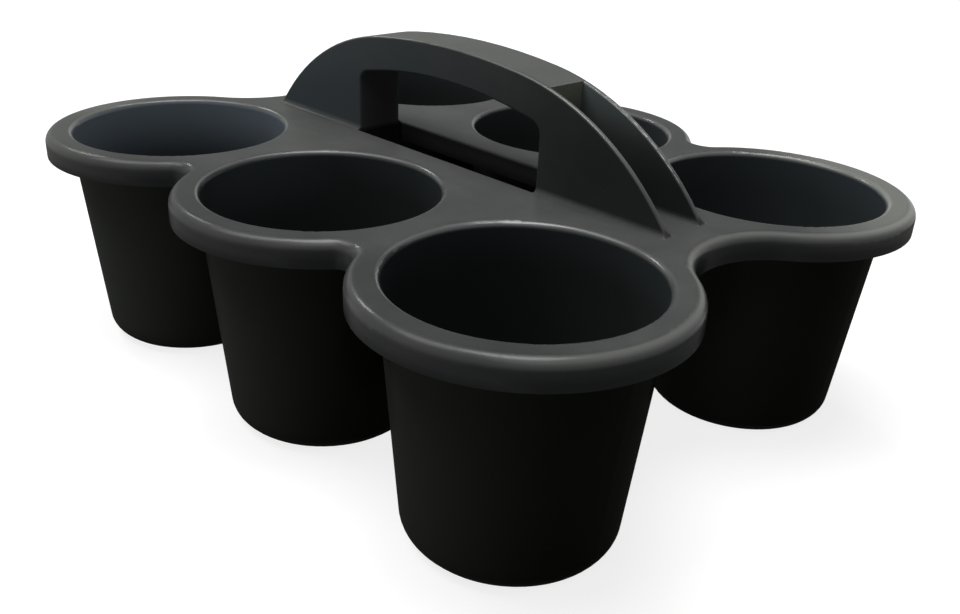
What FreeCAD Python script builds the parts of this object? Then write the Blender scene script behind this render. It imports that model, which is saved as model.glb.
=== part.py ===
import FreeCAD, Part
import enum
import math
import os

import Sketcher

# A carrier moulded in one piece: six tapered cups in two rows of three hang from a flat deck
# with a turned-down rim, and a hollow arched handle stands on the middle of the deck.
# X runs along the rows, Y across them and Z up. The origin lies on the floor, under the
# middle of the handle.

SIZES = {
    # Cups, measured outside the wall.
    "cup_height": 99.5,         # from the floor to the top of the deck
    "cup_top_radius": 48.6,     # at the top of the deck
    "cup_base_radius": 39.6,    # at the floor, before its edge is rounded
    "cup_wall": 1.4,
    "cup_floor": 2.5,
    "cup_base_round": 9.5,
    "mouth_round": 2.6,
    "cup_gap": 12.8,            # between two cups of a row, at the deck
    "row_gap": 51.6,            # between the two rows of cups, at the deck
    # Deck and the rim that turns down around it.
    "deck_thickness": 2.5,
    "rim_overhang": 10.1,       # from the cup's outer wall to the rim's outer face
    "rim_depth": 10.4,
    "rim_wall": 2.0,
    "rim_round": 4.4,
    "valley_radius": 7.5,       # plan radius between two cups of a row
    "waist_radius": 37.0,       # plan radius between the end cups of the two rows
    # Handle: two webs, joined over the hand gap by a skin and beside it by end walls.
    "handle_width": 23.5,
    "handle_rise": 47.8,        # from the deck to the crown of the arch
    "handle_web": 2.4,
    "handle_skin": 2.6,
    "handle_end_wall": 2.5,
    "handle_edge_round": 0.9,
    "web_foot_round": 2.2,      # hollow round between a web and the deck
    "crown_radius": 332.0,
    "crown_half_length": 43.0,  # from the middle to where the shoulders begin
    "foot_margin": 13.0,        # deck left beyond each foot of the handle
    "hand_gap_length": 111.8,
    "hand_gap_corner": 5.5,
    "hand_gap_crown": 240.0,    # radius of the gap's arched top
    "grip_depth": 14.3,         # from the crown down to the gap's top, at the middle
    # Slot in the deck under the grip, with its own turned-down rim.
    "slot_side_gap": 1.0,       # from the handle's side to the slot's edge
    "slot_rim_depth": 9.0,
    "slot_rim_wall": 2.0,
    "slot_edge_round": 1.0,
}

# Sizes that follow from the sizes above.
PITCH = "(2 * sizes.cup_top_radius + sizes.cup_gap)"
ROW = "(sizes.cup_top_radius + sizes.row_gap / 2)"
LOBE = "(sizes.cup_top_radius + sizes.rim_overhang)"
VALLEY_Y = f"({ROW} + sqrt(({LOBE} + sizes.valley_radius)^2 - ({PITCH} / 2)^2))"
WAIST_X = f"({PITCH} + sqrt(({LOBE} + sizes.waist_radius)^2 - {ROW}^2))"
DECK_UNDERSIDE = "(sizes.cup_height - sizes.deck_thickness)"
RIM_BOTTOM = "(sizes.cup_height - sizes.rim_depth)"
FOOT_X = f"({WAIST_X} - sizes.waist_radius - sizes.foot_margin)"
CROWN_TOP = "(sizes.cup_height + sizes.handle_rise)"
CROWN_CENTRE_Z = f"({CROWN_TOP} - sizes.crown_radius)"
SHOULDER_Z = f"({CROWN_CENTRE_Z} + sqrt(sizes.crown_radius^2 - sizes.crown_half_length^2))"
LID_Z = f"({CROWN_TOP} + sizes.handle_skin)"
FOOT_TOP = "(sizes.cup_height + sizes.web_foot_round)"
FOOT_WIDTH = "(sizes.handle_width + 2 * sizes.web_foot_round)"
CHANNEL_WIDTH = "(sizes.handle_width - 2 * sizes.handle_web)"
HALF_GAP = "(sizes.hand_gap_length / 2)"
SKIN_END = f"({HALF_GAP} + sizes.handle_end_wall)"
HALF_SLOT = "(sizes.handle_width / 2 + sizes.slot_side_gap)"

CUPS_IN_A_ROW = 3

UP = FreeCAD.Vector(0, 0, 1)
TOLERANCE = 1e-4
LEAST_CHANGE = 1.0              # cubic millimetres that each feature adds or removes


class Place(enum.IntEnum):
    """A sketch's numbers for its axes and for the points of its lines and arcs."""

    Y_AXIS = -2
    X_AXIS = -1
    START = 1
    END = 2
    CENTRE = 3


START, END, CENTRE = Place.START, Place.END, Place.CENTRE
ORIGIN_POINT = (Place.X_AXIS, Place.START)


def make_sheet(doc):
    sheet = doc.addObject("Spreadsheet::Sheet", "sizes")
    for row, (name, size) in enumerate(SIZES.items(), start=1):
        sheet.set(f"A{row}", name)
        sheet.set(f"B{row}", str(size))
        sheet.setAlias(f"B{row}", name)
    doc.recompute()
    return sheet


class Carrier:
    """The body of the carrier, with the helpers that draw its sketches."""

    def __init__(self, doc, sheet, name):
        self.doc = doc
        self.sheet = sheet
        self.body = doc.addObject("PartDesign::Body", name)
        self.body.Label = name
        self.volume = 0.0
        doc.recompute()

    def size(self, formula):
        return float(self.sheet.evalExpression(formula))

    def origin(self, role):
        return next(part for part in self.body.Origin.OriginFeatures if part.Role == role)

    def sketch(self, name, plane, **offsets):
        sketch = self.body.newObject("Sketcher::SketchObject", name)
        sketch.AttachmentSupport = [(self.origin(plane), "")]
        sketch.MapMode = "FlatFace"
        for axis, formula in offsets.items():
            sketch.setExpression(f"AttachmentOffset.Base.{axis}", formula)
        return sketch

    def set_size(self, sketch, kind, places, formula):
        index = sketch.addConstraint(Sketcher.Constraint(kind, *places, self.size(formula)))
        sketch.setExpression(f"Constraints[{index}]", formula)

    def place_point(self, sketch, point, x=None, y=None):
        """Fixes a point at distances from the origin, given as formulas with their signs."""
        for kind, axis, place in (("DistanceX", Place.Y_AXIS, x), ("DistanceY", Place.X_AXIS, y)):
            if place is None:
                continue
            if place == "0":
                sketch.addConstraint(Sketcher.Constraint("PointOnObject", *point, axis))
            elif place.startswith("-"):
                self.set_size(sketch, kind, (*point, *ORIGIN_POINT), place[1:])
            else:
                self.set_size(sketch, kind, (*ORIGIN_POINT, *point), place)

    def check(self, feature, grows):
        """Recomputes, and makes sure that the feature added or removed material."""
        before = self.volume
        self.doc.recompute()
        self.volume = feature.Shape.Volume
        if (self.volume > before) != grows or abs(self.volume - before) < LEAST_CHANGE:
            raise RuntimeError(f"{feature.Label} left the volume at {self.volume:.0f}")

    def pad(self, name, sketch, length, midplane=False, reverse=False):
        pad = self.body.newObject("PartDesign::Pad", name)
        pad.Profile = sketch
        pad.setExpression("Length", length)
        pad.Midplane = midplane
        pad.Reversed = reverse
        self.check(pad, grows=True)
        return pad

    def pocket(self, name, sketch, length, midplane=False, reverse=False):
        pocket = self.body.newObject("PartDesign::Pocket", name)
        pocket.Profile = sketch
        pocket.setExpression("Length", length)
        pocket.Midplane = midplane
        pocket.Reversed = reverse
        self.check(pocket, grows=False)
        return pocket

    def turned(self, kind, name, sketch):
        turned = self.body.newObject(kind, name)
        turned.Profile = sketch
        turned.ReferenceAxis = (sketch, ["V_Axis"])
        turned.Angle = 360
        self.check(turned, grows=kind == "PartDesign::Revolution")
        return turned

    def fillet(self, name, radius, chosen):
        base = self.body.Tip
        edges = [f"Edge{n}" for n, edge in enumerate(base.Shape.Edges, start=1) if chosen(edge)]
        if not edges:
            raise RuntimeError(f"{name} found no edge to round")
        fillet = self.body.newObject("PartDesign::Fillet", name)
        fillet.Base = (base, edges)
        fillet.setExpression("Radius", radius)
        self.doc.recompute()
        self.volume = fillet.Shape.Volume
        return fillet


def joined(first, second):
    return Sketcher.Constraint("Coincident", *first, *second)


def smooth(first, second):
    return Sketcher.Constraint("Tangent", *first, *second)


def arc(centre, radius, start, end):
    """An arc that turns anticlockwise from the direction of one point to that of another."""
    angles = [math.atan2(point.y - centre.y, point.x - centre.x) for point in (start, end)]
    return Part.ArcOfCircle(Part.Circle(centre, UP, radius), *angles)


def draw_rectangle(carrier, sketch, left, right, bottom, top):
    """A rectangle whose four sides are given as formulas with their signs."""
    numbers = [carrier.size(side) for side in (left, right, bottom, top)]
    x0, x1, y0, y1 = numbers
    corners = [FreeCAD.Vector(x, y) for x, y in ((x0, y0), (x1, y0), (x1, y1), (x0, y1))]
    sides = [sketch.addGeometry(Part.LineSegment(corners[n], corners[(n + 1) % 4])) for n in range(4)]
    for side, following in zip(sides, sides[1:] + sides[:1]):
        sketch.addConstraint(joined((side, END), (following, START)))
    for side, kind in zip(sides, ("Horizontal", "Vertical", "Horizontal", "Vertical")):
        sketch.addConstraint(Sketcher.Constraint(kind, side))
    carrier.place_point(sketch, (sides[0], START), left, bottom)
    carrier.place_point(sketch, (sides[2], START), right, top)


def draw_deck_outline(carrier, sketch, inset):
    """Six lobes around the cups, joined by valleys along the rows and by waists at the ends."""
    pitch, row = PITCH, ROW
    lobes = [("-" + pitch, "-" + row), ("0", "-" + row), (pitch, "-" + row),
             (pitch, row), ("0", row), ("-" + pitch, row)]
    half = f"({PITCH} / 2)"
    valley, waist = "sizes.valley_radius", "sizes.waist_radius"
    bridges = [("-" + half, "-" + VALLEY_Y, valley), (half, "-" + VALLEY_Y, valley), (WAIST_X, "0", waist),
               (half, VALLEY_Y, valley), ("-" + half, VALLEY_Y, valley), ("-" + WAIST_X, "0", waist)]
    lobe_radius = f"{LOBE} - {inset}"
    lobe_points = [FreeCAD.Vector(carrier.size(x), carrier.size(y)) for x, y in lobes]
    bridge_points = [FreeCAD.Vector(carrier.size(x), carrier.size(y)) for x, y, _ in bridges]
    lobe_arcs, bridge_arcs = [], []
    for n, centre in enumerate(lobe_points):
        around = arc(centre, carrier.size(lobe_radius), bridge_points[n - 1], bridge_points[n])
        lobe_arcs.append(sketch.addGeometry(around))
    for n, centre in enumerate(bridge_points):
        radius = carrier.size(f"{bridges[n][2]} + {inset}")
        across = arc(centre, radius, lobe_points[(n + 1) % 6], lobe_points[n])
        bridge_arcs.append(sketch.addGeometry(across))
    for n, bridge in enumerate(bridge_arcs):
        sketch.addConstraint(smooth((lobe_arcs[n], END), (bridge, END)))
        sketch.addConstraint(smooth((bridge, START), (lobe_arcs[(n + 1) % 6], START)))
        carrier.set_size(sketch, "Radius", (bridge,), f"{bridges[n][2]} + {inset}")
    for lobe, (x, y) in zip(lobe_arcs, lobes):
        carrier.place_point(sketch, (lobe, CENTRE), x, y)
        carrier.set_size(sketch, "Radius", (lobe,), lobe_radius)


def draw_above_arch(carrier, sketch):
    """All that lies over the handle: a crown arc and two shoulder arcs, closed by a lid above."""
    foot, deck, lid_z = (carrier.size(place) for place in (FOOT_X, "sizes.cup_height", LID_Z))
    join_x, join_z = carrier.size("sizes.crown_half_length"), carrier.size(SHOULDER_Z)
    crown_radius = carrier.size("sizes.crown_radius")
    crown_centre = FreeCAD.Vector(0, carrier.size(CROWN_CENTRE_Z))
    slope = FreeCAD.Vector(join_x, join_z) - crown_centre
    slope.normalize()
    run, drop = foot - join_x, join_z - deck
    shoulder_radius = (run ** 2 + drop ** 2) / (2 * (drop * slope.y - run * slope.x))
    joins = {side: FreeCAD.Vector(side * join_x, join_z) for side in (-1, 1)}
    crown = sketch.addGeometry(arc(crown_centre, crown_radius, joins[1], joins[-1]))
    carrier.set_size(sketch, "Radius", (crown,), "sizes.crown_radius")
    carrier.place_point(sketch, (crown, CENTRE), x="0")
    carrier.place_point(sketch, (crown, START), "sizes.crown_half_length", SHOULDER_Z)
    lid = sketch.addGeometry(Part.LineSegment(FreeCAD.Vector(-foot, lid_z), FreeCAD.Vector(foot, lid_z)))
    sketch.addConstraint(Sketcher.Constraint("Horizontal", lid))
    for side, crown_end, lid_end in ((1, START, END), (-1, END, START)):
        centre = joins[side] - FreeCAD.Vector(side * slope.x, slope.y) * shoulder_radius
        toe = FreeCAD.Vector(side * foot, deck)
        ends = (toe, joins[side]) if side > 0 else (joins[side], toe)
        shoulder = sketch.addGeometry(arc(centre, shoulder_radius, *ends))
        toe_end, join_end = (START, END) if side > 0 else (END, START)
        upright = sketch.addGeometry(Part.LineSegment(FreeCAD.Vector(side * foot, lid_z), toe))
        sketch.addConstraint(smooth((crown, crown_end), (shoulder, join_end)))
        sketch.addConstraint(joined((upright, END), (shoulder, toe_end)))
        sketch.addConstraint(joined((upright, START), (lid, lid_end)))
        sketch.addConstraint(Sketcher.Constraint("Vertical", upright))
        carrier.place_point(sketch, (upright, END), ("" if side > 0 else "-") + FOOT_X, "sizes.cup_height")
    carrier.place_point(sketch, (crown, END), y=SHOULDER_Z)
    carrier.place_point(sketch, (lid, END), y=LID_Z)


def draw_web_feet(carrier, sketch):
    """Both webs' feet in section: a strip under each web, with a hollow round up to each wall."""
    deck, base, high = (carrier.size(place) for place in ("sizes.cup_height", DECK_UNDERSIDE, FOOT_TOP))
    turn = carrier.size("sizes.web_foot_round")
    outer_wall, inner_wall = "(sizes.handle_width / 2)", f"({CHANNEL_WIDTH} / 2)"
    outer_toe, inner_toe = f"({FOOT_WIDTH} / 2)", f"({CHANNEL_WIDTH} / 2 - sizes.web_foot_round)"
    for places in ((inner_toe, inner_wall, outer_wall, outer_toe),
                   ("-" + outer_toe, "-" + outer_wall, "-" + inner_wall, "-" + inner_toe)):
        left_toe, left_wall, right_wall, right_toe = places
        y0, y1, y2, y3 = (carrier.size(place) for place in places)
        corners = [FreeCAD.Vector(y, z) for y, z in ((y0, deck), (y0, base), (y3, base), (y3, deck))]
        plain_sides = [Part.LineSegment(*ends) for ends in zip(corners, corners[1:])]
        west, south, east = [sketch.addGeometry(side) for side in plain_sides]
        high_left, high_right = FreeCAD.Vector(y1, high), FreeCAD.Vector(y2, high)
        right = sketch.addGeometry(arc(FreeCAD.Vector(y3, high), turn, high_right, corners[-1]))
        left = sketch.addGeometry(arc(FreeCAD.Vector(y0, high), turn, corners[0], high_left))
        north = sketch.addGeometry(Part.LineSegment(high_right, high_left))
        for first, second in (((west, END), (south, START)), ((south, END), (east, START)),
                              ((east, END), (right, END)), ((right, START), (north, START)),
                              ((north, END), (left, END)), ((left, START), (west, START))):
            sketch.addConstraint(joined(first, second))
        for upright in (west, east):
            sketch.addConstraint(Sketcher.Constraint("Vertical", upright))
        for curve, toe, wall, toe_end, wall_end in ((left, left_toe, left_wall, START, END),
                                                    (right, right_toe, right_wall, END, START)):
            carrier.place_point(sketch, (curve, CENTRE), toe, FOOT_TOP)
            carrier.place_point(sketch, (curve, wall_end), wall, FOOT_TOP)
            carrier.place_point(sketch, (curve, toe_end), toe)
        carrier.place_point(sketch, (south, START), y=DECK_UNDERSIDE)
        carrier.place_point(sketch, (south, END), y=DECK_UNDERSIDE)


def draw_vault(carrier, sketch, depth, curve):
    """The hand gap's side view, closed by an arc whose top lies a depth below the crown's."""
    half, base = carrier.size(HALF_GAP), carrier.size(DECK_UNDERSIDE)
    radius = carrier.size(curve)
    centre = FreeCAD.Vector(0, carrier.size(f"{CROWN_TOP} - {depth}") - radius)
    spring = centre.y + math.sqrt(radius ** 2 - half ** 2)
    right, left = FreeCAD.Vector(half, spring), FreeCAD.Vector(-half, spring)
    low_left, low_right = FreeCAD.Vector(-half, base), FreeCAD.Vector(half, base)
    vault = sketch.addGeometry(arc(centre, radius, right, left))
    west = sketch.addGeometry(Part.LineSegment(left, low_left))
    south = sketch.addGeometry(Part.LineSegment(low_left, low_right))
    east = sketch.addGeometry(Part.LineSegment(low_right, right))
    for first, second in (((vault, END), (west, START)), ((west, END), (south, START)),
                          ((south, END), (east, START)), ((east, END), (vault, START))):
        sketch.addConstraint(joined(first, second))
    for side, kind in ((west, "Vertical"), (south, "Horizontal"), (east, "Vertical")):
        sketch.addConstraint(Sketcher.Constraint(kind, side))
    carrier.set_size(sketch, "Radius", (vault,), curve)
    carrier.place_point(sketch, (vault, CENTRE), x="0")
    top = f"({CROWN_TOP} - {depth} - ({curve}) + sqrt(({curve})^2 - {HALF_GAP}^2))"
    carrier.place_point(sketch, (vault, START), HALF_GAP, top)
    carrier.place_point(sketch, (south, END), y=DECK_UNDERSIDE)


def draw_cup(carrier, sketch, inset, floor, base_round, mouth_round=None):
    """Half of a cup's section: a floor, a rounded edge and a tapered wall up to the deck."""
    height, low = carrier.size("sizes.cup_height"), carrier.size(floor)
    top_radius = f"sizes.cup_top_radius - {inset}"
    base_radius = f"sizes.cup_base_radius - {inset}"
    top, base = carrier.size(top_radius), carrier.size(base_radius)
    lean = math.atan2(top - base, height)
    turn = carrier.size(base_round)
    base_at_floor = base + low * math.tan(lean)
    setback = turn * math.tan((math.pi / 2 - lean) / 2)
    tangent_x = base_at_floor - setback
    along = FreeCAD.Vector(math.sin(lean), math.cos(lean))
    wall_start = FreeCAD.Vector(base_at_floor, low) + along * setback
    corner_centre = FreeCAD.Vector(tangent_x, low + turn)
    axis_low, axis_high = FreeCAD.Vector(0, low), FreeCAD.Vector(0, height)
    bottom = sketch.addGeometry(Part.LineSegment(axis_low, FreeCAD.Vector(tangent_x, low)))
    edge = sketch.addGeometry(arc(corner_centre, turn, FreeCAD.Vector(tangent_x, low), wall_start))
    if mouth_round:
        lip = carrier.size(mouth_round)
        lip_setback = lip * math.tan((math.pi / 2 - lean) / 2)
        wall_end = FreeCAD.Vector(top, height) - along * lip_setback
        lip_top = FreeCAD.Vector(top + lip_setback, height)
        lip_centre = lip_top - FreeCAD.Vector(0, lip)
        wall = sketch.addGeometry(Part.LineSegment(wall_start, wall_end))
        mouth = sketch.addGeometry(arc(lip_centre, lip, lip_top, wall_end))
        carrier.set_size(sketch, "Radius", (mouth,), mouth_round)
        cover = sketch.addGeometry(Part.LineSegment(lip_top, axis_high))
        sketch.addConstraint(smooth((wall, END), (mouth, END)))
        sketch.addConstraint(smooth((mouth, START), (cover, START)))
    else:
        top_corner = FreeCAD.Vector(top, height)
        wall = sketch.addGeometry(Part.LineSegment(wall_start, top_corner))
        cover = sketch.addGeometry(Part.LineSegment(top_corner, axis_high))
        sketch.addConstraint(joined((wall, END), (cover, START)))
    axis = sketch.addGeometry(Part.LineSegment(axis_high, axis_low))
    sketch.addConstraint(smooth((bottom, END), (edge, START)))
    sketch.addConstraint(smooth((edge, END), (wall, START)))
    sketch.addConstraint(joined((cover, END), (axis, START)))
    sketch.addConstraint(joined((axis, END), (bottom, START)))
    sketch.addConstraint(Sketcher.Constraint("Horizontal", bottom))
    sketch.addConstraint(Sketcher.Constraint("Horizontal", cover))
    carrier.set_size(sketch, "Radius", (edge,), base_round)
    carrier.place_point(sketch, (bottom, START), "0", floor)
    carrier.place_point(sketch, (axis, START), "0", "sizes.cup_height")
    # The wall's line runs through the cup's radius at the floor and at the top of the deck.
    for radius, level in ((base_radius, "0"), (top_radius, "sizes.cup_height")):
        spot = FreeCAD.Vector(carrier.size(radius), carrier.size(level))
        mark = sketch.addGeometry(Part.Point(spot), True)
        carrier.place_point(sketch, (mark, START), radius, level)
        sketch.addConstraint(Sketcher.Constraint("PointOnObject", mark, START, wall))


def lies_at(level):
    """Tells whether an edge lies flat at a level."""
    return lambda edge: all(abs(vertex.Z - level) < TOLERANCE for vertex in edge.Vertexes)


def build_handle(carrier):
    block = carrier.sketch("handle_block_side", "XZ_Plane")
    draw_rectangle(carrier, block, "-" + FOOT_X, FOOT_X, DECK_UNDERSIDE, LID_Z)
    carrier.pad("handle_block", block, "sizes.handle_width", midplane=True)

    # Open channels between the webs, outside the end walls.
    channels = carrier.sketch("handle_channels", "XZ_Plane")
    outer = f"({FOOT_X} + sizes.foot_margin)"
    draw_rectangle(carrier, channels, SKIN_END, outer, DECK_UNDERSIDE, LID_Z)
    draw_rectangle(carrier, channels, "-" + outer, "-" + SKIN_END, DECK_UNDERSIDE, LID_Z)
    carrier.pocket("handle_channels_cut", channels, CHANNEL_WIDTH, midplane=True)

    # The webs run into the deck in hollow rounds, and the arch cuts webs and rounds alike.
    feet = carrier.sketch("web_feet_section", "YZ_Plane")
    draw_web_feet(carrier, feet)
    carrier.pad("web_feet", feet, f"2 * {FOOT_X}", midplane=True)
    above = carrier.sketch("above_arch", "XZ_Plane")
    draw_above_arch(carrier, above)
    carrier.pocket("arch_cut", above, FOOT_WIDTH, midplane=True)

    # The grip is hollow under its skin, and the hand gap opens both webs.
    hollow = carrier.sketch("grip_hollow", "XZ_Plane")
    draw_vault(carrier, hollow, "sizes.handle_skin", "sizes.crown_radius - sizes.handle_skin")
    carrier.pocket("grip_hollow_cut", hollow, CHANNEL_WIDTH, midplane=True)
    gap = carrier.sketch("hand_gap", "XZ_Plane")
    draw_vault(carrier, gap, "sizes.grip_depth", "sizes.hand_gap_crown")
    carrier.pocket("hand_gap_cut", gap, FOOT_WIDTH, midplane=True)
    round_handle(carrier)


def round_handle(carrier):
    half_gap, skin_end = carrier.size(HALF_GAP), carrier.size(SKIN_END)
    side, inside = carrier.size("sizes.handle_width / 2"), carrier.size(CHANNEL_WIDTH + " / 2")
    deck, foot_top = carrier.size("sizes.cup_height"), carrier.size(FOOT_TOP)

    def gap_corner(edge):
        ends = [vertex.Point for vertex in edge.Vertexes]
        along_y = abs(ends[0].x - ends[-1].x) < TOLERANCE and abs(ends[0].z - ends[-1].z) < TOLERANCE
        at_gap = abs(abs(ends[0].x) - half_gap) < TOLERANCE
        return along_y and at_gap and abs(edge.Length - side + inside) < TOLERANCE and ends[0].z > deck

    carrier.fillet("hand_gap_corners", "sizes.hand_gap_corner", gap_corner)

    def outer_edge(edge):
        points = [vertex.Point for vertex in edge.Vertexes] + [edge.CenterOfMass]
        on_side = all(abs(abs(point.y) - side) < TOLERANCE for point in points)
        return on_side and edge.CenterOfMass.z > deck and not lies_at(foot_top)(edge)

    carrier.fillet("handle_outer_edges", "sizes.handle_edge_round", outer_edge)

    def channel_edge(edge):
        points = [vertex.Point for vertex in edge.Vertexes] + [edge.CenterOfMass]
        on_side = all(abs(abs(point.y) - inside) < TOLERANCE for point in points)
        beyond = min(abs(point.x) for point in points) > skin_end - TOLERANCE
        return on_side and beyond and edge.CenterOfMass.z > deck and type(edge.Curve) is not Part.Line

    carrier.fillet("handle_channel_edges", "sizes.handle_edge_round", channel_edge)


def build_deck(carrier):
    outline = carrier.sketch("deck_outline", "XY_Plane", z="sizes.cup_height")
    draw_deck_outline(carrier, outline, "0")
    carrier.pad("deck", outline, "sizes.rim_depth", reverse=True)
    deck = carrier.size("sizes.cup_height")
    foot, side = carrier.size(FOOT_X), carrier.size(FOOT_WIDTH + " / 2")

    def outline_edge(edge):
        middle = edge.CenterOfMass
        beside_handle = abs(middle.y) > side + TOLERANCE or abs(middle.x) > foot + TOLERANCE
        return lies_at(deck)(edge) and beside_handle

    carrier.fillet("rim_rounding", "sizes.rim_round", outline_edge)
    underside = carrier.sketch("deck_underside", "XY_Plane", z=RIM_BOTTOM)
    draw_deck_outline(carrier, underside, "sizes.rim_wall")
    carrier.pocket("deck_hollow", underside, "sizes.rim_depth - sizes.deck_thickness", reverse=True)

    # The slot under the grip, with its own turned-down rim.
    slot_rim = carrier.sketch("slot_rim_outline", "XY_Plane", z=DECK_UNDERSIDE)
    rim_x, rim_y = f"({HALF_GAP} + sizes.slot_rim_wall)", f"({HALF_SLOT} + sizes.slot_rim_wall)"
    draw_rectangle(carrier, slot_rim, "-" + rim_x, rim_x, "-" + rim_y, rim_y)
    carrier.pad("slot_rim", slot_rim, "sizes.slot_rim_depth - sizes.deck_thickness", reverse=True)
    slot = carrier.sketch("slot_outline", "XY_Plane", z="sizes.cup_height")
    draw_rectangle(carrier, slot, "-" + HALF_GAP, HALF_GAP, "-" + HALF_SLOT, HALF_SLOT)
    carrier.pocket("slot", slot, "sizes.slot_rim_depth")
    slot_side = carrier.size(HALF_SLOT)

    def slot_edge(edge):
        return lies_at(deck)(edge) and abs(abs(edge.CenterOfMass.y) - slot_side) < TOLERANCE

    carrier.fillet("slot_edges", "sizes.slot_edge_round", slot_edge)


def build_cups(carrier):
    offsets = {"x": "-" + PITCH, "z": ROW}
    outside = carrier.sketch("cup_outside", "XZ_Plane", **offsets)
    draw_cup(carrier, outside, "0", "0", "sizes.cup_base_round")
    inside = carrier.sketch("cup_inside", "XZ_Plane", **offsets)
    draw_cup(carrier, inside, "sizes.cup_wall", "sizes.cup_floor",
             "sizes.cup_base_round - sizes.cup_wall", "sizes.mouth_round")
    cup = carrier.turned("PartDesign::Revolution", "first_cup", outside)
    mouth = carrier.turned("PartDesign::Groove", "first_cup_inside", inside)
    cups = carrier.body.newObject("PartDesign::MultiTransform", "cups")
    cups.Originals = [cup, mouth]
    row = carrier.doc.addObject("PartDesign::LinearPattern", "cups_of_a_row")
    row.Direction = (carrier.origin("X_Axis"), [""])
    row.Occurrences = CUPS_IN_A_ROW
    row.setExpression("Length", f"{PITCH} * {CUPS_IN_A_ROW - 1}")
    rows = carrier.doc.addObject("PartDesign::Mirrored", "rows")
    rows.MirrorPlane = (carrier.origin("XZ_Plane"), [""])
    cups.Transformations = [row, rows]
    carrier.body.Tip = cups
    carrier.check(cups, grows=True)


def main():
    doc = FreeCAD.newDocument("cup_carrier")
    sheet = make_sheet(doc)
    carrier = Carrier(doc, sheet, "cup_carrier")
    build_handle(carrier)
    build_deck(carrier)
    build_cups(carrier)
    for obj in doc.Objects:
        if "Invalid" in obj.State or "Error" in obj.State:
            raise RuntimeError(f"{obj.Label} failed: {obj.State}")
    shape = carrier.body.Shape
    if shape.isNull() or not shape.isValid() or len(shape.Solids) != 1:
        raise RuntimeError(f"{carrier.body.Label} isn't one valid solid")
    os.makedirs("parts", exist_ok=True)
    shape.exportStep(f"parts/{carrier.body.Label}.step")


main()
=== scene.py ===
"""Looks of the six-cup carrier: satin charcoal moulded plastic on a pale studio floor.

The carrier is one moulding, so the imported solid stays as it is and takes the
moulded plastic made here. X runs along the rows, Y across them, Z up. The left
is towards -X and the front towards -Y.
"""

import math
from types import SimpleNamespace

import bmesh
import bpy
from mathutils import Matrix, Vector

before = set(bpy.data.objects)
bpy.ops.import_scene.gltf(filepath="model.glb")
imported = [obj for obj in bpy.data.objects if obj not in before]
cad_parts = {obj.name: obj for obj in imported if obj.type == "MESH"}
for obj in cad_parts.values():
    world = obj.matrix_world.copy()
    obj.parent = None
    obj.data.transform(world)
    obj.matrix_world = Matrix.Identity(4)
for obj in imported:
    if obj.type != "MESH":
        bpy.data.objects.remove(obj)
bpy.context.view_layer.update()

# Places on the carrier, in metres.
CUP_PITCH = 0.110
ROW_OFFSET = 0.0744
DECK_TOP = 0.0995
RIM_BOTTOM = 0.0891
CUP_TOP_RADIUS = 0.0486
CUP_BASE_RADIUS = 0.0396
CUP_WALL = 0.0014
MOUTH_RADIUS = 0.0497
LIP_ROUND = 0.0026
WEB_OUTSIDE = 0.01175
WEB_INSIDE = 0.00935
WEB_FOOT = 0.0024
SLOT_SIDE = 0.01275
SLOT_END = 0.0559
GAP_END = 0.0584

# The width over which a mask fades out at a hard edge.
MASK_EDGE = 0.0004

# Stretches over which a mask rises or falls, in metres. First the heights on cups, rim and handle.
ABOVE_DECK = (DECK_TOP + 0.0001, DECK_TOP + 0.0001 + MASK_EDGE)
BELOW_LIP = (DECK_TOP - LIP_ROUND, DECK_TOP - 0.2 * LIP_ROUND)
ON_LIP = (DECK_TOP - LIP_ROUND, DECK_TOP - 0.5 * LIP_ROUND)
RIM_FOOT = (RIM_BOTTOM - 0.0010, DECK_TOP - 0.0035)
RIM_HEIGHT = (RIM_BOTTOM + 0.0010, DECK_TOP - 0.0030)
RIM_CREST = (DECK_TOP - 0.0027, DECK_TOP - 0.0010)
FOOT_FROM = (DECK_TOP - 0.0006, DECK_TOP - 0.0003)
FOOT_TO = (DECK_TOP + 0.0015, DECK_TOP + 0.0030)
CROWN_FROM = (DECK_TOP + 0.006, DECK_TOP + 0.030)
CHANNEL_LOW_TO = (DECK_TOP + 0.008, DECK_TOP + 0.030)
CHANNEL_HIGH_FROM = (DECK_TOP + 0.020, DECK_TOP + 0.044)
SLOT_TO = (DECK_TOP - 0.0012, DECK_TOP - 0.0004)

# Then how far along and across the carrier its painted light and painted shade reach.
LEFT_END = (-0.15, 0.10)
RIGHT_END = (0.02, 0.09)
LEFT_CORNER = (-0.27, -0.18)
RIGHT_CORNER = (0.17, 0.25)
FRONT_ROW = (-0.03, 0.03)
LIT_CUP_LEFT = (-0.11, -0.02)
LIT_CUP_DEPTH = (0.064, 0.101)
LIT_CUP_RIGHT = (0.0, 0.05)
LIT_CUP_BACK = (-0.02, 0.02)
NEAR_LIP = (0.080, 0.100)
FRONT_EDGE = (-0.114, -0.088)
FRONT_EDGE_RIGHT = (0.06, 0.14)

# Stretches of how far up a face looks: none on a wall, one on a level face.
RIM_SIDE_UP = (0.2, 0.7)
RIM_SHADE_UP = (0.48, 0.90)
RIM_CREST_UP = (0.93, 0.995)
CROWN_UP = (0.6, 0.95)
WALL_UP = (0.1, 0.4)
EDGE_FROM_UP = (0.15, 0.5)
EDGE_TO_UP = (0.85, 0.995)

# Stretches of how far a face looks along X, of its X and Y directions added up, and of the mask of
# left faces that comes from them, which is one on faces that look to the left and front.
END_ON = (0.5, 0.9)
LEFT_FACES = (-1.45, 0.6)
CREST_LEFT = (0.1, 0.4)
RIM_SHADE_LEFT = (0.1, 0.6)
RIM_LIGHT_LEFT = (0.3, 1.0)
GLOSS_LEFT = (0.25, 0.50)

# Stretches of the mask of the left end.
CREST_AT_LEFT_END = (0.0, 0.45)
GLOSS_AT_LEFT_END = (0.0, 0.6)

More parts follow.
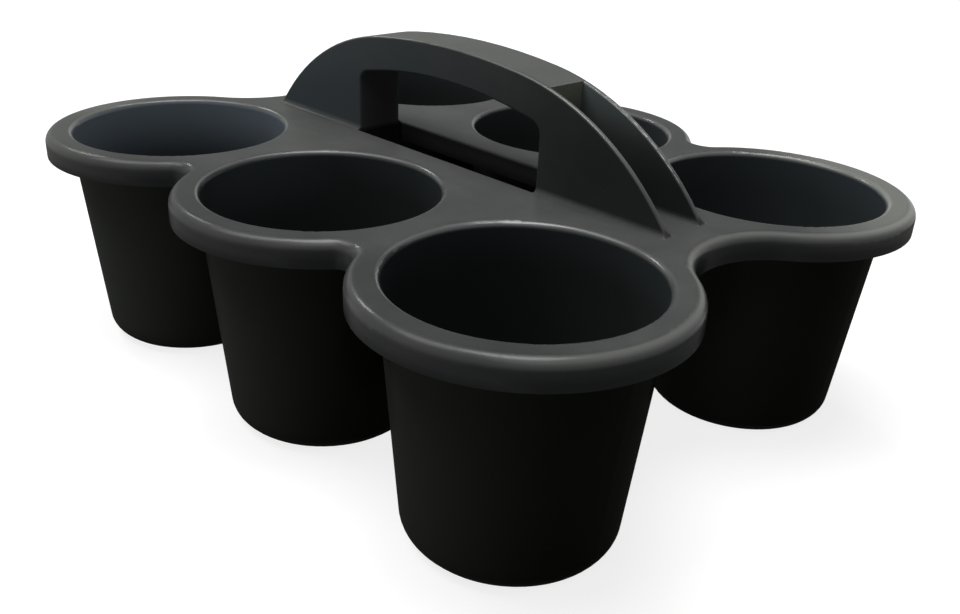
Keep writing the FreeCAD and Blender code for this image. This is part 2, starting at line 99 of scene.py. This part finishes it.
# Stretches of the noise patterns, and the patterns themselves, in cells per metre.
MOTTLE_RISE = (0.3, 0.7)
STREAK_RISE = (0.58, 0.74)
PATCH_RISE = (0.45, 0.65)
MOTTLE_NOISE = {"scale": 38.0, "detail": 5.0, "roughness": 0.6}
STREAK_NOISE = {"scale": 420.0, "detail": 3.0, "roughness": 0.65}
PATCH_NOISE = {"scale": 26.0, "detail": 2.0, "roughness": 0.5}
GRAIN_NOISE = {"scale": 2600.0, "detail": 2.0, "roughness": 0.5}

# Colours of the plastic: the deck, rim and handle first, then the cups.
DECK_DARK = (0.0495, 0.0525, 0.0515)
DECK_PALE = (0.0615, 0.0635, 0.0615)
# Painted light on the deck, rim and handle; also the paler tone of real scuffs.
DECK_LIT_AND_SCUFFED = (0.190, 0.196, 0.180)
# Painted bluish light on the webs at the left end.
WEB_LIT_BLUE = (0.080, 0.098, 0.108)
# Painted light on the upper channel faces, palest on faces that look along X.
CHANNEL_LIT = (0.150, 0.176, 0.176)
CHANNEL_END_LIT = (0.370, 0.400, 0.320)
# Painted shade, mixed in where shade falls.
PAINTED_SHADE = (0.011, 0.013, 0.012)
CUP_DARK = (0.0085, 0.0092, 0.0066)
# Painted light on the cups: paler at the left end and on faces that look left.
CUP_DARK_LIT_LEFT_END = (0.030, 0.032, 0.026)
CUP_LIT_SIDE = (0.035, 0.037, 0.031)
CUP_LIT_SIDE_LEFT_END = (0.055, 0.059, 0.050)
INSIDE_DARK = (0.021, 0.024, 0.024)
# Painted light inside the cups, bluer and paler.
INSIDE_LIT = (0.135, 0.165, 0.192)

# How strongly each place takes painted light: the deck and handle towards their lit colour, the cups'
# insides towards theirs. The scuffs' share is real wear.
LIGHT_LEFT_CORNER = 0.30
LIGHT_RIGHT_CORNER = 0.65
LIGHT_LEFT_END = 0.06
LIGHT_GAP_END = 0.15
LIGHT_CROWN = 0.18
HIGHLIGHT_CREST_RIGHT = 0.36
HIGHLIGHT_CREST_LEFT = 0.02
CREST_KEPT_AT_LEFT_END = 0.25
LIGHT_RIM_LEFT = 0.25
FADE_SCUFFS = 0.04
LIGHT_CUP_RIGHT = 0.07
LIGHT_NEAR_LIP = 0.085

# How far each place is darkened towards the painted-shade colour, as painted shade.
SHADE_RIM_LOW = 0.85
SHADE_RIM_HIGH = 0.48
SHADE_RIM_FOOT = 0.75
SHADE_FRONT_LEFT = 0.34
SHADE_FRONT_RIGHT = 0.36
SHADE_CHANNEL = 0.62
SHADE_SLOT_END = 0.85
SHADE_RIGHT_WEB = 0.36

# Clear gloss: on flat faces, and added on rounded edges and on lips and crown.
FLAT_GLOSS = 0.08
EDGE_GLOSS = 0.45
LIP_GLOSS = 0.55
GLOSS_ROUGHNESS = 0.26

# What is left of the gloss on cups, in scuffs, on left faces and at the left end.
CUP_GLOSS = 0.2
SCUFFED_GLOSS = 0.6
LEFT_FACE_GLOSS = 0.60
LEFT_END_GLOSS = 0.62

# Roughness under the gloss, and the moulded grain in metres.
DARK_ROUGHNESS = 0.52
PALE_ROUGHNESS = 0.44
GRAIN_STRENGTH = 0.12
GRAIN_DEPTH = 0.0002

# Studio: a pale floor and world, and round lamps as name, place, size and power.
WHITE = (1.0, 1.0, 1.0, 1.0)
FLOOR_COLOUR = (0.3, 0.3, 0.3, 1.0)
FLOOR_HALF_SIZE = 12.0
FLOOR_DROP = 0.0002
FLOOR_GLOW_NEAR = 0.82
FLOOR_GLOW_FAR = 1.0
FLOOR_GLOW_REACH = (0.3, 1.5)
WORLD_LIGHT = 0.05
WORLD_SHOWN = 1.0
LAMP_AIM = (0.0, 0.0, 0.06)
LAMPS = (
    ("overhead", (0.0, 0.0, 1.66), 0.9, 18.5),
    ("overhead_spot", (-0.40, 0.61, 1.48), 0.16, 2.4),
    ("left_high", (-0.57, -0.56, 1.45), 0.9, 10.0),
    ("left_spot", (-1.30, 0.0, 0.99), 0.22, 4.4),
    ("viewer_side", (0.56, -0.57, 1.45), 0.9, 2.1),
)

# Where the viewer stands: place in metres, angles in degrees, lens in millimetres.
VIEW_PLACE = (0.30695, -0.29469, 0.2275)
VIEW_TURN = 44.56
VIEW_DOWN = 25.48
VIEW_ROLL = -2.75
VIEW_LENS = 37.28
VIEW_NEAREST = 0.01


def combine(tree, operation, *values):
    """A chain of math nodes over sockets and numbers. One value alone goes through one node."""
    result = values[0]
    for value in values[1:] or (None,):
        node = tree.nodes.new("ShaderNodeMath")
        node.operation = operation
        for socket, side in zip(node.inputs, (result, value)):
            if isinstance(side, float):
                socket.default_value = side
            elif side is not None:
                tree.links.new(side, socket)
        result = node.outputs[0]
    return result


def times(tree, *values):
    """Product of sockets and numbers."""
    return combine(tree, "MULTIPLY", *values)


def plus(tree, *values):
    """Sum of sockets and numbers."""
    return combine(tree, "ADD", *values)


def largest(tree, *values):
    """Largest of sockets and numbers."""
    return combine(tree, "MAXIMUM", *values)


def size_of(tree, value):
    """A value without its sign."""
    return combine(tree, "ABSOLUTE", value)


def without(tree, mask):
    """What a mask leaves out."""
    return combine(tree, "SUBTRACT", 1.0, mask)


def ramp(tree, value, low, high, out_low=0.0, out_high=1.0):
    """Smooth step of a value from low..high to out_low..out_high."""
    node = tree.nodes.new("ShaderNodeMapRange")
    node.interpolation_type = "SMOOTHSTEP"
    node.inputs["From Min"].default_value = low
    node.inputs["From Max"].default_value = high
    node.inputs["To Min"].default_value = out_low
    node.inputs["To Max"].default_value = out_high
    tree.links.new(value, node.inputs["Value"])
    return node.outputs["Result"]


def fall(tree, value, low, high):
    """Smooth step down, from one at low to none at high."""
    return ramp(tree, value, low, high, 1.0, 0.0)


def blend(tree, mask, at_none, at_full):
    """A number that goes from one value to another as a mask fills."""
    return ramp(tree, mask, 0.0, 1.0, at_none, at_full)


def noise(tree, place, scale, detail, roughness):
    """A noise pattern on Object coordinates; scale is cells per metre."""
    node = tree.nodes.new("ShaderNodeTexNoise")
    node.inputs["Scale"].default_value = scale
    node.inputs["Detail"].default_value = detail
    node.inputs["Roughness"].default_value = roughness
    tree.links.new(place, node.inputs["Vector"])
    return node.outputs["Fac"]


def mix_colours(tree, amount, first, second):
    """Mix of two colours, each a socket or an RGB value, by a socket amount."""
    node = tree.nodes.new("ShaderNodeMix")
    node.data_type = "RGBA"
    tree.links.new(amount, node.inputs["Factor"])
    for label, value in (("A", first), ("B", second)):
        socket = [s for s in node.inputs if s.name == label and s.type == "RGBA"][0]
        if isinstance(value, tuple):
            socket.default_value = (*value, 1.0)
        else:
            tree.links.new(value, socket)
    return [s for s in node.outputs if s.type == "RGBA"][0]


def vector_parts(tree, vector):
    """The three parts of a vector socket."""
    node = tree.nodes.new("ShaderNodeSeparateXYZ")
    tree.links.new(vector, node.inputs[0])
    return node.outputs


def place_group(tree, name, place, draw_masks):
    """A node group of masks drawn from the place on the object, put into a material.

    draw_masks takes the group and its Place socket, and returns the masks by name.
    """
    group = bpy.data.node_groups.new(name, "ShaderNodeTree")
    group.interface.new_socket("Place", in_out="INPUT", socket_type="NodeSocketVector")
    masks = draw_masks(group, group.nodes.new("NodeGroupInput").outputs["Place"])
    for label in masks:
        group.interface.new_socket(label, in_out="OUTPUT", socket_type="NodeSocketFloat")
    ending = group.nodes.new("NodeGroupOutput")
    for label, mask in masks.items():
        group.links.new(mask, ending.inputs[label])
    node = tree.nodes.new("ShaderNodeGroup")
    node.node_tree = group
    tree.links.new(place, node.inputs["Place"])
    return node.outputs


def draw_cup_masks(group, place):
    """The cups' walls and floors, what of them is inside, and the rounded lips of the mouths."""
    x, y, z = vector_parts(group, place)

    # Distance from the axis of the nearest cup.
    column = times(group, combine(group, "ROUND", combine(group, "DIVIDE", x, CUP_PITCH)), CUP_PITCH)
    along = combine(group, "SUBTRACT", x, column)
    across = combine(group, "SUBTRACT", size_of(group, y), ROW_OFFSET)
    radius = combine(group, "SQRT", plus(group, times(group, along, along), times(group, across, across)))

    # Depth under the cup's tapered outer face.
    taper = (CUP_TOP_RADIUS - CUP_BASE_RADIUS) / DECK_TOP
    outside_radius = plus(group, times(group, z, taper), CUP_BASE_RADIUS)
    depth_in_wall = combine(group, "SUBTRACT", outside_radius, radius)

    in_mouth = fall(group, radius, MOUTH_RADIUS - MASK_EDGE, MOUTH_RADIUS)
    in_lip = fall(group, radius, MOUTH_RADIUS, MOUTH_RADIUS + 2.0 * MASK_EDGE)
    return {
        "Wall": times(group, in_mouth, fall(group, z, *BELOW_LIP)),
        "Inside": ramp(group, depth_in_wall, 0.4 * CUP_WALL, 0.6 * CUP_WALL),
        "Lip": times(group, ramp(group, z, *ON_LIP), in_lip),
    }


def draw_rim_masks(group, place):
    """The rim by height: all of it, its foot, how far up a place is, and the crest."""
    z = vector_parts(group, place)[2]
    return {
        "Below deck": fall(group, z, *ABOVE_DECK),
        "Foot": fall(group, z, *RIM_FOOT),
        "Height": ramp(group, z, *RIM_HEIGHT),
        "Crest": ramp(group, z, *RIM_CREST),
    }


def draw_handle_masks(group, place):
    """The webs and their feet, the crown, the channels, and the ends of the hand gap and the slot."""
    x, y, z = vector_parts(group, place)
    from_middle = size_of(group, x)
    off_middle = size_of(group, y)
    above_deck = ramp(group, z, *ABOVE_DECK)
    foot_edge = WEB_OUTSIDE + WEB_FOOT
    on_handle = fall(group, off_middle, foot_edge - MASK_EDGE, foot_edge + 0.5 * MASK_EDGE)
    between_webs = fall(group, off_middle, WEB_INSIDE + 0.5 * MASK_EDGE, WEB_INSIDE + 1.5 * MASK_EDGE)
    past_gap = ramp(group, from_middle, GAP_END - MASK_EDGE, GAP_END + MASK_EDGE)
    inner_faces = times(group, above_deck, between_webs)
    in_channel = times(group, inner_faces, past_gap)
    at_slot_end = times(group,
                        ramp(group, from_middle, SLOT_END - 2.5 * MASK_EDGE, SLOT_END - 1.5 * MASK_EDGE),
                        fall(group, from_middle, SLOT_END + 1.5 * MASK_EDGE, SLOT_END + 2.5 * MASK_EDGE))
    in_slot = times(group, fall(group, off_middle, SLOT_SIDE, SLOT_SIDE + MASK_EDGE),
                    fall(group, z, *SLOT_TO))
    return {
        "Web": times(group, above_deck, on_handle, without(group, between_webs)),
        "Web foot": times(group, on_handle, ramp(group, z, *FOOT_FROM), fall(group, z, *FOOT_TO)),
        "Crown": times(group, on_handle, ramp(group, z, *CROWN_FROM)),
        "Channel low": times(group, in_channel, fall(group, z, *CHANNEL_LOW_TO)),
        "Channel high": times(group, in_channel, ramp(group, z, *CHANNEL_HIGH_FROM)),
        "Gap end": times(group, inner_faces, without(group, past_gap)),
        "Slot end": times(group, at_slot_end, in_slot),
    }


def draw_painted_light_and_shade_masks(group, place):
    """Where painted light lies on the carrier and in its cups, and where painted shade darkens the front
    edge.
    """
    x, y, z = vector_parts(group, place)
    corner_to_corner = plus(group, x, y)
    # Painted light inside the cups: high in the left front cup, faintly in the right back cups and near
    # every lip.
    left_cup = times(group, fall(group, x, *LIT_CUP_LEFT), fall(group, y, *FRONT_ROW),
                     ramp(group, z, *LIT_CUP_DEPTH))
    right_cup = times(group, ramp(group, x, *LIT_CUP_RIGHT), ramp(group, y, *LIT_CUP_BACK),
                      LIGHT_CUP_RIGHT)
    near_lip = times(group, ramp(group, z, *NEAR_LIP), LIGHT_NEAR_LIP)
    return {
        "Left end": fall(group, x, *LEFT_END),
        "Right end": ramp(group, x, *RIGHT_END),
        "Left corner": fall(group, corner_to_corner, *LEFT_CORNER),
        "Right corner": ramp(group, corner_to_corner, *RIGHT_CORNER),
        "Inside": largest(group, left_cup, plus(group, right_cup, near_lip)),
        # Painted shade on the front edge of the rim flats.
        "Front edge": times(group, fall(group, y, *FRONT_EDGE),
                            ramp(group, x, *FRONT_EDGE_RIGHT, SHADE_FRONT_LEFT, SHADE_FRONT_RIGHT)),
    }


def draw_wear_masks(group, place):
    """Wear and grain of moulded plastic: broad mottling, small scuffs, and the fine moulded grain."""
    streaks = ramp(group, noise(group, place, **STREAK_NOISE), *STREAK_RISE)
    patches = ramp(group, noise(group, place, **PATCH_NOISE), *PATCH_RISE)
    return {
        "Mottle": ramp(group, noise(group, place, **MOTTLE_NOISE), *MOTTLE_RISE),
        "Scuffs": times(group, streaks, patches),
        "Grain": noise(group, place, **GRAIN_NOISE),
    }


def read_surface(tree):
    """Every mask and direction that the plastic's colour and gloss are worked out from."""
    coordinates = tree.nodes.new("ShaderNodeTexCoord").outputs
    place = coordinates["Object"]
    facing = vector_parts(tree, coordinates["Normal"])
    return SimpleNamespace(
        up=facing[2],
        end_on=size_of(tree, facing[0]),
        left=fall(tree, plus(tree, facing[0], facing[1]), *LEFT_FACES),
        cup=place_group(tree, "cup_regions", place, draw_cup_masks),
        rim=place_group(tree, "rim_regions", place, draw_rim_masks),
        handle=place_group(tree, "handle_regions", place, draw_handle_masks),
        painted_light_and_shade=place_group(tree, "painted_light_and_shade", place, draw_painted_light_and_shade_masks),
        wear=place_group(tree, "moulded_wear", place, draw_wear_masks),
    )


def deck_painted_light_and_scuffs(tree, surface):
    """How strongly painted light lies on the deck, rim and handle, a painted highlight on the rim crest
    among it, and how pale real scuffs make it.
    """
    rim, handle, painted_light_and_shade = surface.rim, surface.handle, surface.painted_light_and_shade
    rim_side = times(tree, rim["Below deck"], fall(tree, surface.up, *RIM_SIDE_UP))
    # Painted highlight along the rim crest, strongest on faces that look right.
    rim_crest = times(tree, rim["Crest"], rim["Below deck"], fall(tree, surface.up, *RIM_CREST_UP),
                      without(tree, surface.cup["Lip"]))
    crest_highlight = times(tree, ramp(tree, surface.left, *CREST_LEFT, HIGHLIGHT_CREST_RIGHT, HIGHLIGHT_CREST_LEFT),
                         ramp(tree, painted_light_and_shade["Left end"], *CREST_AT_LEFT_END, 1.0, CREST_KEPT_AT_LEFT_END))
    # Painted light on rim sides that look left.
    side_light = ramp(tree, surface.left, *RIM_LIGHT_LEFT, 0.0, LIGHT_RIM_LEFT)
    return plus(tree,
                # Painted light on the far corners, the left end, the gap ends and the grip top; the scuffs
                # are real wear.
                times(tree, painted_light_and_shade["Left corner"], LIGHT_LEFT_CORNER),
                times(tree, painted_light_and_shade["Right corner"], LIGHT_RIGHT_CORNER),
                times(tree, painted_light_and_shade["Left end"], LIGHT_LEFT_END),
                times(tree, handle["Gap end"], fall(tree, surface.up, *WALL_UP), LIGHT_GAP_END),
                times(tree, handle["Crown"], ramp(tree, surface.up, *CROWN_UP, 0.0, LIGHT_CROWN)),
                times(tree, rim_crest, crest_highlight),
                times(tree, rim_side, rim["Height"], side_light),
                times(tree, surface.wear["Scuffs"], FADE_SCUFFS))


def deck_painted_shade(tree, surface):
    """How far painted shade darkens the deck, rim and handle: the rim's lower band and foot, the front edge,
    channel bottoms, slot ends and right webs.
    """
    rim, handle, painted_light_and_shade = surface.rim, surface.handle, surface.painted_light_and_shade
    # Painted shade: every term below darkens where shade falls.
    rim_shade = times(tree, rim["Below deck"], fall(tree, surface.up, *RIM_SHADE_UP),
                      fall(tree, surface.left, *RIM_SHADE_LEFT),
                      blend(tree, rim["Height"], SHADE_RIM_LOW, SHADE_RIM_HIGH))
    return largest(tree,
                   rim_shade,
                   times(tree, rim["Foot"], SHADE_RIM_FOOT),
                   painted_light_and_shade["Front edge"],
                   times(tree, handle["Channel low"], SHADE_CHANNEL),
                   times(tree, handle["Slot end"], SHADE_SLOT_END),
                   times(tree, handle["Web"], painted_light_and_shade["Right end"], SHADE_RIGHT_WEB))


def deck_colour(tree, surface):
    """Colour of the deck, rim and handle: mottled grey, with painted light where it lies open and painted
    shade where it is sheltered.
    """
    handle = surface.handle
    # Painted bluish light on the webs at the left end.
    blue_web_light = times(tree, surface.painted_light_and_shade["Left end"], handle["Web"], fall(tree, surface.up, *WALL_UP))
    # Painted light on the upper channel faces, palest on faces that look along X.
    channel_light = mix_colours(tree, ramp(tree, surface.end_on, *END_ON), CHANNEL_LIT, CHANNEL_END_LIT)
    colour = mix_colours(tree, surface.wear["Mottle"], DECK_DARK, DECK_PALE)
    colour = mix_colours(tree, deck_painted_light_and_scuffs(tree, surface), colour, DECK_LIT_AND_SCUFFED)
    colour = mix_colours(tree, blue_web_light, colour, WEB_LIT_BLUE)
    colour = mix_colours(tree, handle["Channel high"], colour, channel_light)
    return mix_colours(tree, deck_painted_shade(tree, surface), colour, PAINTED_SHADE)


def cup_colour(tree, surface):
    """Colour of the cups: near black outside with olive painted light on left faces and at the left end, and
    bluer painted light inside near the lips.
    """
    painted_light_and_shade = surface.painted_light_and_shade
    # Painted light on the cups: paler at the left end and on faces that look left.
    dark_side = mix_colours(tree, painted_light_and_shade["Left end"], CUP_DARK, CUP_DARK_LIT_LEFT_END)
    lit_side = mix_colours(tree, painted_light_and_shade["Left end"], CUP_LIT_SIDE, CUP_LIT_SIDE_LEFT_END)
    outside = mix_colours(tree, surface.left, dark_side, lit_side)
    # Painted light inside the cups.
    inside = mix_colours(tree, painted_light_and_shade["Inside"], INSIDE_DARK, INSIDE_LIT)
    return mix_colours(tree, surface.cup["Inside"], outside, inside)


def edge_gloss(tree, surface):
    """Gloss of the rounded edges that hands and cups rub, duller on left faces and at the left end."""
    cup, handle = surface.cup, surface.handle
    leaning = times(tree, ramp(tree, surface.up, *EDGE_FROM_UP), fall(tree, surface.up, *EDGE_TO_UP))
    rubbed = plus(tree, blend(tree, surface.wear["Scuffs"], EDGE_GLOSS, SCUFFED_GLOSS * EDGE_GLOSS),
                  times(tree, largest(tree, cup["Lip"], handle["Crown"]), LIP_GLOSS))
    dulled = times(tree, ramp(tree, surface.left, *GLOSS_LEFT, 1.0, LEFT_FACE_GLOSS),
                   ramp(tree, surface.painted_light_and_shade["Left end"], *GLOSS_AT_LEFT_END, 1.0, LEFT_END_GLOSS))
    gloss = plus(tree, times(tree, leaning, rubbed, dulled, without(tree, handle["Web foot"])), FLAT_GLOSS)
    return times(tree, gloss, blend(tree, cup["Wall"], 1.0, CUP_GLOSS))


def moulded_grain(tree, surface):
    """The fine grain that the mould leaves, as a bumped normal."""
    bump = tree.nodes.new("ShaderNodeBump")
    bump.inputs["Strength"].default_value = GRAIN_STRENGTH
    bump.inputs["Distance"].default_value = GRAIN_DEPTH
    tree.links.new(surface.wear["Grain"], bump.inputs["Height"])
    return bump.outputs["Normal"]


def make_carrier_plastic():
    """Charcoal moulded plastic: matt grey deck and handle, darker satin cups, glossy worn edges."""
    material = bpy.data.materials.new("carrier_plastic")
    material.use_nodes = True
    tree = material.node_tree
    shader = tree.nodes["Principled BSDF"]
    surface = read_surface(tree)
    colour = mix_colours(tree, surface.cup["Wall"], deck_colour(tree, surface), cup_colour(tree, surface))
    roughness = blend(tree, surface.wear["Mottle"], DARK_ROUGHNESS, PALE_ROUGHNESS)
    tree.links.new(colour, shader.inputs["Base Color"])
    tree.links.new(roughness, shader.inputs["Roughness"])
    tree.links.new(edge_gloss(tree, surface), shader.inputs["Coat Weight"])
    tree.links.new(moulded_grain(tree, surface), shader.inputs["Normal"])
    shader.inputs["Coat Roughness"].default_value = GLOSS_ROUGHNESS

    # The gloss does all the mirroring, so the plastic under it has none.
    shader.inputs["Specular IOR Level"].default_value = 0.0
    return material


def rays_that_show(tree):
    """One for the rays that see the studio: from the camera, off gloss and through glass."""
    rays = tree.nodes.new("ShaderNodeLightPath").outputs
    return largest(tree, rays["Is Camera Ray"], rays["Is Glossy Ray"], rays["Is Transmission Ray"])


def make_pale_floor():
    """Matt floor that shows as white, also in reflections, and keeps the carrier's shadow."""
    material = bpy.data.materials.new("pale_floor")
    material.use_nodes = True
    tree = material.node_tree
    tree.nodes.clear()

    # The glow grows with distance, so the floor is white where no lamp reaches it.
    distance = tree.nodes.new("ShaderNodeVectorMath")
    distance.operation = "LENGTH"
    tree.links.new(tree.nodes.new("ShaderNodeTexCoord").outputs["Object"], distance.inputs[0])
    strength = ramp(tree, distance.outputs["Value"], *FLOOR_GLOW_REACH, FLOOR_GLOW_NEAR, FLOOR_GLOW_FAR)
    glow = tree.nodes.new("ShaderNodeEmission")
    tree.links.new(times(tree, rays_that_show(tree), strength), glow.inputs["Strength"])

    diffuse = tree.nodes.new("ShaderNodeBsdfDiffuse")
    diffuse.inputs["Color"].default_value = FLOOR_COLOUR
    both = tree.nodes.new("ShaderNodeAddShader")
    tree.links.new(diffuse.outputs[0], both.inputs[0])
    tree.links.new(glow.outputs[0], both.inputs[1])
    tree.links.new(both.outputs[0], tree.nodes.new("ShaderNodeOutputMaterial").inputs["Surface"])
    return material


def make_floor():
    """The studio floor, a hair under the cups."""
    mesh = bpy.data.meshes.new("studio_floor")
    shape = bmesh.new()
    bmesh.ops.create_grid(shape, x_segments=1, y_segments=1, size=FLOOR_HALF_SIZE)
    bmesh.ops.translate(shape, verts=shape.verts, vec=(0.0, 0.0, -FLOOR_DROP))
    shape.to_mesh(mesh)
    shape.free()
    mesh.materials.append(make_pale_floor())
    floor = bpy.data.objects.new("studio_floor", mesh)
    bpy.context.scene.collection.objects.link(floor)


def make_world():
    """A dim even studio that shows as white, also in reflections."""
    world = bpy.data.worlds.new("studio")
    world.use_nodes = True
    bpy.context.scene.world = world
    tree = world.node_tree
    background = tree.nodes["Background"]
    background.inputs["Color"].default_value = WHITE
    strength = blend(tree, rays_that_show(tree), WORLD_LIGHT, WORLD_SHOWN)
    tree.links.new(strength, background.inputs["Strength"])


def make_lamp(name, place, size, power):
    """A round soft lamp at a place, aimed at the middle of the carrier."""
    data = bpy.data.lights.new(name, "AREA")
    data.shape = "DISK"
    data.size = size
    data.energy = power
    lamp = bpy.data.objects.new(name, data)
    bpy.context.scene.collection.objects.link(lamp)
    aim = (Vector(LAMP_AIM) - Vector(place)).to_track_quat("-Z", "Y")
    lamp.matrix_world = Matrix.Translation(place) @ aim.to_matrix().to_4x4()


def make_camera():
    """The viewer's place and direction."""
    data = bpy.data.cameras.new("viewer")
    data.lens = VIEW_LENS
    data.clip_start = VIEW_NEAREST
    camera = bpy.data.objects.new("viewer", data)
    bpy.context.scene.collection.objects.link(camera)
    turn = Matrix.Rotation(math.radians(VIEW_TURN), 4, "Z")
    tilt = Matrix.Rotation(math.radians(90.0 - VIEW_DOWN), 4, "X")
    roll = Matrix.Rotation(math.radians(-VIEW_ROLL), 4, "Z")
    camera.matrix_world = Matrix.Translation(VIEW_PLACE) @ turn @ tilt @ roll
    bpy.context.scene.camera = camera


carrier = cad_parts["cup_carrier"]
carrier.data.materials.clear()
carrier.data.materials.append(make_carrier_plastic())

make_floor()
make_world()
for lamp_facts in LAMPS:
    make_lamp(*lamp_facts)
make_camera()

bpy.context.scene.view_settings.view_transform = "Standard"
